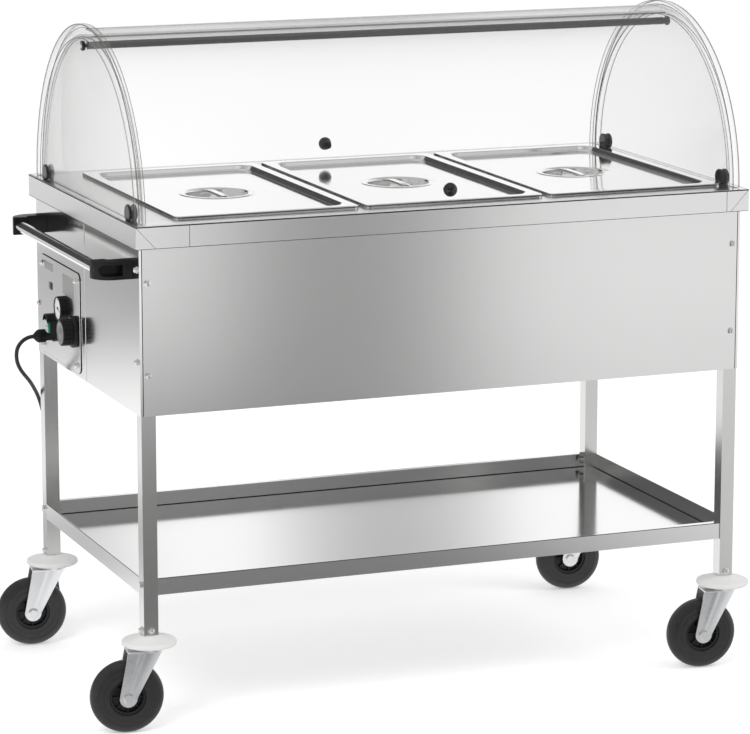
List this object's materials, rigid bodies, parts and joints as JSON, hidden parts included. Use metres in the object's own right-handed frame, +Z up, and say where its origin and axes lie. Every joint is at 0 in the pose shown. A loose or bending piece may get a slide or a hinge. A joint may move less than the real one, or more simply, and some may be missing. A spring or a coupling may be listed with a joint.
{
  "type": "bain marie trolley",
  "caption": "Heated serving trolley: a water bath with lidded gastronorm pans under a clear roll-top dome, on a wheeled steel frame with a shelf and push bar.",
  "frame": {"origin": "on the floor, below the middle of the part's box without its lead", "axes": "+X along the trolley to the end without controls, -Y the front, +Z up"},
  "size_m": [1.212, 0.8778, 1.1549],
  "materials": {
    "sheet_steel": "fine brushed, semi-gloss stainless sheet",
    "frame_steel": "brushed square stainless tube",
    "pan_steel": "bright drawn stainless",
    "bright_metal": "polished",
    "heater_metal": "dull sheath",
    "zinc_steel": "zinc plated",
    "clear_acrylic": "clear, polished",
    "black_plastic": "fine grain, satin",
    "white_plastic": "gloss",
    "bumper_plastic": "satin white",
    "hub_plastic": "satin dark grey",
    "tan_plastic": "matt",
    "green_plastic": "gloss, translucent in the real switch",
    "lamp_plastic": "gloss, unlit",
    "label_metal": "satin, bare",
    "lead_rubber": "matt black",
    "tyre_rubber": "matt black"
  },
  "bodies": {
    "trolley": {"leg_front_left": "frame_steel", "leg_front_right": "frame_steel", "leg_back_left": "frame_steel", "leg_back_right": "frame_steel", "shelf_tray": "sheet_steel", "shelf_bolts": "bright_metal", "front_panel": "sheet_steel", "back_panel": "sheet_steel", "left_panel": "sheet_steel", "right_panel": "sheet_steel", "bottom_plate": "sheet_steel", "body_screws": "bright_metal", "top_frame": "sheet_steel", "water_bath": "sheet_steel", "pan_rails": "sheet_steel", "heating_rod": "heater_metal", "thermostat": "tan_plastic", "terminal_block": "tan_plastic", "control_cover": "sheet_steel", "blank_plates": "label_metal", "pilot_lamp": "lamp_plastic", "gauge_case": "black_plastic", "gauge_face": "white_plastic", "switch_frame": "black_plastic", "cable_gland": "black_plastic", "mains_lead": "lead_rubber", "lead_coil": "lead_rubber", "mains_plug": "black_plastic", "handle_tube": "bright_metal", "handle_arms": "black_plastic", "dome_end_left": "clear_acrylic", "dome_end_right": "clear_acrylic", "dome_clamps": "black_plastic", "tie_tube": "bright_metal", "castor_bumpers": "bumper_plastic", "castor_stems": "zinc_steel"},
    "castor_front_left": {"fork_front_left": "zinc_steel"},
    "wheel_front_left": {"hub_front_left": "hub_plastic", "tyre_front_left": "tyre_rubber"},
    "castor_front_right": {"fork_front_right": "zinc_steel"},
    "wheel_front_right": {"hub_front_right": "hub_plastic", "tyre_front_right": "tyre_rubber"},
    "castor_back_left": {"fork_back_left": "zinc_steel"},
    "wheel_back_left": {"hub_back_left": "hub_plastic", "tyre_back_left": "tyre_rubber"},
    "castor_back_right": {"fork_back_right": "zinc_steel"},
    "wheel_back_right": {"hub_back_right": "hub_plastic", "tyre_back_right": "tyre_rubber"},
    "front_flap": {"flap_front": "clear_acrylic", "knob_front": "black_plastic"},
    "back_flap": {"flap_back": "clear_acrylic", "knob_back": "black_plastic"},
    "dial": {"thermostat_knob": "black_plastic"},
    "rocker": {"switch_rocker": "green_plastic"},
    "left_pan": {"pan_left": "pan_steel"},
    "left_lid": {"lid_left": "pan_steel"},
    "middle_pan": {"pan_middle": "pan_steel"},
    "middle_lid": {"lid_middle": "pan_steel"},
    "right_pan": {"pan_right": "pan_steel"},
    "right_lid": {"lid_right": "pan_steel"}
  },
  "joints": [
    {"name": "swivel_front_left", "type": "hinge", "parent": "trolley", "child": "castor_front_left", "pos_m": [-0.50462, -0.2853, 0.145], "axis": [0, 0, 1], "continuous": true},
    {"name": "roll_front_left", "type": "hinge", "parent": "castor_front_left", "child": "wheel_front_left", "pos_m": [-0.54324, -0.27987, 0.0625], "axis": [0.1392, 0.9903, 0], "continuous": true},
    {"name": "swivel_front_right", "type": "hinge", "parent": "trolley", "child": "castor_front_right", "pos_m": [0.55998, -0.2853, 0.145], "axis": [0, 0, 1], "continuous": true},
    {"name": "roll_front_right", "type": "hinge", "parent": "castor_front_right", "child": "wheel_front_right", "pos_m": [0.52136, -0.27987, 0.0625], "axis": [0.1392, 0.9903, 0], "continuous": true},
    {"name": "swivel_back_left", "type": "hinge", "parent": "trolley", "child": "castor_back_left", "pos_m": [-0.50462, 0.2853, 0.145], "axis": [0, 0, 1], "continuous": true},
    {"name": "roll_back_left", "type": "hinge", "parent": "castor_back_left", "child": "wheel_back_left", "pos_m": [-0.54324, 0.29073, 0.0625], "axis": [0.1392, 0.9903, 0], "continuous": true},
    {"name": "swivel_back_right", "type": "hinge", "parent": "trolley", "child": "castor_back_right", "pos_m": [0.55998, 0.2853, 0.145], "axis": [0, 0, 1], "continuous": true},
    {"name": "roll_back_right", "type": "hinge", "parent": "castor_back_right", "child": "wheel_back_right", "pos_m": [0.52136, 0.29073, 0.0625], "axis": [0.1392, 0.9903, 0], "continuous": true},
    {"name": "front_flap_turn", "type": "hinge", "parent": "trolley", "child": "front_flap", "pos_m": [0.02768, 0, 0.858], "axis": [-1, 0, 0], "range_deg": [0, 78]},
    {"name": "back_flap_turn", "type": "hinge", "parent": "trolley", "child": "back_flap", "pos_m": [0.02768, 0, 0.858], "axis": [-1, 0, 0], "range_deg": [-78, 0]},
    {"name": "thermostat_turn", "type": "hinge", "parent": "trolley", "child": "dial", "pos_m": [-0.52032, 0.065, 0.617], "axis": [-1, 0, 0], "range_deg": [0, 270]},
    {"name": "switch_rock", "type": "hinge", "parent": "trolley", "child": "rocker", "pos_m": [-0.51632, 0.198, 0.606], "axis": [0, 1, 0], "range_deg": [0, 16]},
    {"name": "lift_left_pan", "type": "slide", "parent": "trolley", "child": "left_pan", "axis": [0, 0, 1], "range_m": [0, 0.025]},
    {"name": "lift_left_lid", "type": "slide", "parent": "left_pan", "child": "left_lid", "axis": [0, 0, 1], "range_m": [0, 0.04]},
    {"name": "lift_middle_pan", "type": "slide", "parent": "trolley", "child": "middle_pan", "axis": [0, 0, 1], "range_m": [0, 0.025]},
    {"name": "lift_middle_lid", "type": "slide", "parent": "middle_pan", "child": "middle_lid", "axis": [0, 0, 1], "range_m": [0, 0.04]},
    {"name": "lift_right_pan", "type": "slide", "parent": "trolley", "child": "right_pan", "axis": [0, 0, 1], "range_m": [0, 0.025]},
    {"name": "lift_right_lid", "type": "slide", "parent": "right_pan", "child": "right_lid", "axis": [0, 0, 1], "range_m": [0, 0.04]}
  ]
}
